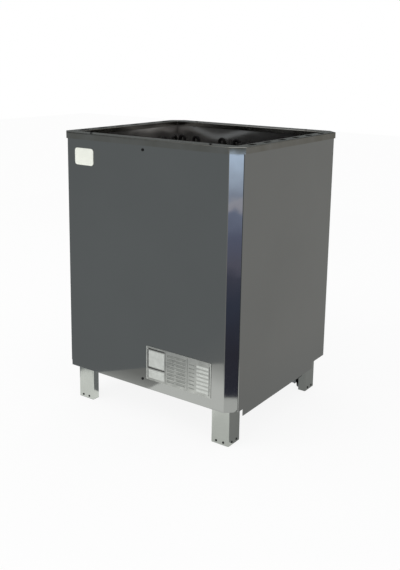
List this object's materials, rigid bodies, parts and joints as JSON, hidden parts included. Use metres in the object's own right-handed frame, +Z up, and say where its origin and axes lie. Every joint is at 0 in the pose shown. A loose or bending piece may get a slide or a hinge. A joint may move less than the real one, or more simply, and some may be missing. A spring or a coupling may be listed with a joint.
{
  "type": "sauna heater stove",
  "caption": "Free-standing electric sauna heater: an open-topped polished steel casing on folded legs with levelling feet, a stone compartment and tall hairpin heating elements.",
  "frame": {"origin": "on the floor under the middle of the casing", "axes": "+Z up, -Y out of the front with the badge and rating plate, +X to the right as seen from the front"},
  "size_m": [0.528, 0.488, 0.7019],
  "materials": {
    "polished_steel": "polished stainless",
    "rim_steel": "satin stainless",
    "liner_steel": "mill finish stainless",
    "grate_steel": "heat stained",
    "galvanised_steel": "galvanised",
    "element_steel": "heat darkened",
    "zinc_hardware": "zinc plated",
    "link_metal": "bare",
    "wire_sleeve": "matt",
    "block_ceramic": "unglazed",
    "gland_plastic": "fine grain",
    "leg_steel": "polished stainless",
    "plate_metal": "satin with blank ruled fields",
    "badge_enamel": "blank, satin"
  },
  "bodies": {
    "heater": {"front_panel": "polished_steel", "back_panel": "polished_steel", "right_side_panel": "polished_steel", "left_side_panel": "polished_steel", "top_rim": "rim_steel", "stone_liner": "liner_steel", "stone_grate": "grate_steel", "base_tray": "galvanised_steel", "terminal_box": "galvanised_steel", "element_plate": "galvanised_steel", "terminal_cover": "galvanised_steel", "heating_element_1": "element_steel", "heating_element_2": "element_steel", "heating_element_3": "element_steel", "heating_element_4": "element_steel", "heating_element_5": "element_steel", "heating_element_6": "element_steel", "element_clamp_1": "zinc_hardware", "element_clamp_2": "zinc_hardware", "element_clamp_3": "zinc_hardware", "element_clamp_4": "zinc_hardware", "element_clamp_5": "zinc_hardware", "element_clamp_6": "zinc_hardware", "star_link": "link_metal", "phase_link_1": "link_metal", "phase_link_2": "link_metal", "phase_link_3": "link_metal", "phase_wire_1": "wire_sleeve", "phase_wire_2": "wire_sleeve", "phase_wire_3": "wire_sleeve", "terminal_block": "block_ceramic", "cable_gland_body": "gland_plastic", "cable_gland_nut": "gland_plastic", "leg_front_right": "leg_steel", "leg_back_right": "leg_steel", "leg_back_left": "leg_steel", "leg_front_left": "leg_steel", "leg_bolt_front_right": "zinc_hardware", "leg_bolt_back_right": "zinc_hardware", "leg_bolt_back_left": "zinc_hardware", "leg_bolt_front_left": "zinc_hardware", "foot_bracket_front_right": "zinc_hardware", "foot_bracket_back_right": "zinc_hardware", "foot_bracket_back_left": "zinc_hardware", "foot_bracket_front_left": "zinc_hardware", "rating_plate": "plate_metal", "badge": "badge_enamel", "front_screw_upper": "zinc_hardware", "front_screw_lower": "zinc_hardware", "back_screw_upper": "zinc_hardware", "back_screw_lower": "zinc_hardware", "rim_screw_front_left": "zinc_hardware", "rim_screw_front_right": "zinc_hardware", "rim_screw_back_left": "zinc_hardware", "rim_screw_back_right": "zinc_hardware", "cover_screw": "zinc_hardware"},
    "levelling_foot_front_right": {"levelling_foot_front_right": "zinc_hardware"},
    "levelling_foot_back_right": {"levelling_foot_back_right": "zinc_hardware"},
    "levelling_foot_back_left": {"levelling_foot_back_left": "zinc_hardware"},
    "levelling_foot_front_left": {"levelling_foot_front_left": "zinc_hardware"}
  },
  "joints": [
    {"name": "level_front_right", "type": "slide", "parent": "heater", "child": "levelling_foot_front_right", "axis": [0, 0, -1], "range_m": [0, 0.012]},
    {"name": "level_back_right", "type": "slide", "parent": "heater", "child": "levelling_foot_back_right", "axis": [0, 0, -1], "range_m": [0, 0.012]},
    {"name": "level_back_left", "type": "slide", "parent": "heater", "child": "levelling_foot_back_left", "axis": [0, 0, -1], "range_m": [0, 0.012]},
    {"name": "level_front_left", "type": "slide", "parent": "heater", "child": "levelling_foot_front_left", "axis": [0, 0, -1], "range_m": [0, 0.012]}
  ]
}
